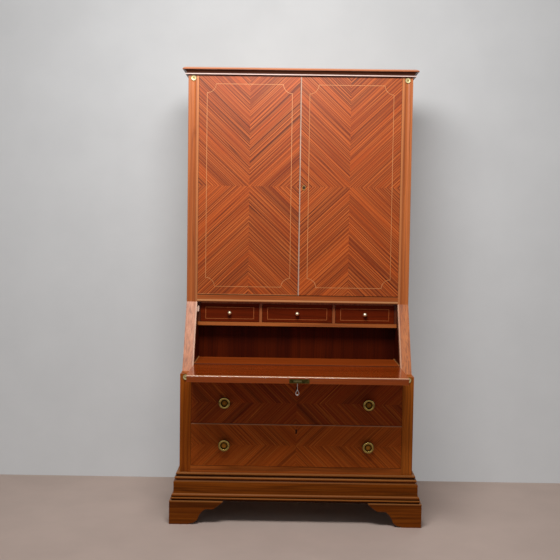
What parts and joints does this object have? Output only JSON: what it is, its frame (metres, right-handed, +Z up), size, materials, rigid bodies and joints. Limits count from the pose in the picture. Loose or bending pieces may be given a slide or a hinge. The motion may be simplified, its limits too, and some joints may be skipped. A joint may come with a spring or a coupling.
{
  "type": "drop-front cabinet",
  "caption": "Tall two-stage cabinet with veneered doors over an open fall-front desk, drawers inside the desk and below it, moulded base on bracket feet and a cornice.",
  "frame": {"origin": "on the floor, under the middle of the cabinet's outline with the fall open", "axes": "+Z up, -Y out of the front, +X to the viewer's right"},
  "size_m": [1.186, 0.7366, 2.1783],
  "materials": {
    "veneer": "polished figured veneer",
    "mahogany": "polished",
    "interior": "waxed",
    "secondary": "unfinished",
    "stringing": "polished",
    "brass": "aged",
    "steel": "worn"
  },
  "bodies": {
    "case": {"front_feet": "mahogany", "rear_feet": "mahogany", "base_mouldings": "mahogany", "case_sides": "mahogany", "lower_stiles": "mahogany", "slope_stiles": "mahogany", "bottom_rail": "mahogany", "drawer_floors": "secondary", "drawer_guides": "secondary", "case_top": "mahogany", "desk_floor": "interior", "desk_cheeks": "interior", "desk_back": "interior", "drawer_shelf": "interior", "drawer_nest": "interior", "side_beads": "interior", "fall_stop": "interior", "case_back": "secondary", "upper_sides": "mahogany", "upper_stiles": "mahogany", "upper_bottom": "secondary", "upper_rail": "mahogany", "upper_top": "mahogany", "cornice": "mahogany", "upper_back": "secondary", "upper_shelves": "secondary", "shelf_pins": "brass", "case_hinge_leaves": "brass", "fall_pivot_bushes": "brass", "corner_roundels": "brass"},
    "door_left": {"left_door": "veneer", "left_door_stringing": "stringing", "left_door_hinge_leaves": "brass", "door_strike": "brass"},
    "door_right": {"right_door": "veneer", "right_door_stringing": "stringing", "right_door_hinge_leaves": "brass", "door_lock": "brass", "meeting_bead": "stringing"},
    "door_bolt": {"door_lock_bolt": "steel"},
    "fall": {"fall_board": "mahogany", "fall_pivot_pins": "brass", "fall_lock": "brass"},
    "fall_bolt": {"fall_lock_bolt": "steel"},
    "key": {"fall_key": "steel"},
    "drawer_upper": {"upper_drawer_front": "veneer", "upper_drawer_box": "secondary", "upper_drawer_knobs": "brass"},
    "drawer_lower": {"lower_drawer_front": "veneer", "lower_drawer_box": "secondary", "lower_drawer_knobs": "brass"},
    "small_drawer_left": {"left_small_drawer_front": "veneer", "left_small_drawer_box": "secondary", "left_small_drawer_knob": "brass"},
    "small_drawer_middle": {"middle_small_drawer_front": "veneer", "middle_small_drawer_box": "secondary", "middle_small_drawer_knob": "brass"},
    "small_drawer_right": {"right_small_drawer_front": "veneer", "right_small_drawer_box": "secondary", "right_small_drawer_knob": "brass"}
  },
  "joints": [
    {"name": "left_door_hinge", "type": "hinge", "parent": "case", "child": "door_left", "pos_m": [-0.4708, 0.12531, 1.6], "axis": [0, 0, -1], "range_deg": [0, 110]},
    {"name": "right_door_hinge", "type": "hinge", "parent": "case", "child": "door_right", "pos_m": [0.4708, 0.12531, 1.6], "axis": [0, 0, 1], "range_deg": [0, 110]},
    {"name": "door_bolt_slide", "type": "slide", "parent": "door_right", "child": "door_bolt", "axis": [-1, 0, 0], "range_m": [0, 0.018]},
    {"name": "fall_hinge", "type": "hinge", "parent": "case", "child": "fall", "pos_m": [0, -0.03069, 0.7213], "axis": [1, 0, 0], "range_deg": [-118.5, 0]},
    {"name": "key_turn", "type": "hinge", "parent": "fall", "child": "key", "pos_m": [0, -0.33831, 0.7], "axis": [0, 0, 1], "range_deg": [0, 90]},
    {"name": "fall_bolt_slide", "type": "slide", "parent": "fall", "child": "fall_bolt", "axis": [0, -1, 0], "range_m": [0, 0.014]},
    {"name": "upper_drawer_slide", "type": "slide", "parent": "case", "child": "drawer_upper", "axis": [0, -1, 0], "range_m": [0, 0.175]},
    {"name": "lower_drawer_slide", "type": "slide", "parent": "case", "child": "drawer_lower", "axis": [0, -1, 0], "range_m": [0, 0.3]},
    {"name": "left_small_drawer_slide", "type": "slide", "parent": "case", "child": "small_drawer_left", "axis": [0, -1, 0], "range_m": [0, 0.12]},
    {"name": "middle_small_drawer_slide", "type": "slide", "parent": "case", "child": "small_drawer_middle", "axis": [0, -1, 0], "range_m": [0, 0.12]},
    {"name": "right_small_drawer_slide", "type": "slide", "parent": "case", "child": "small_drawer_right", "axis": [0, -1, 0], "range_m": [0, 0.12]}
  ],
  "couplings": [
    {"joint": "key_turn", "follows": "fall_bolt_slide", "rad_per_m": 112.19}
  ]
}
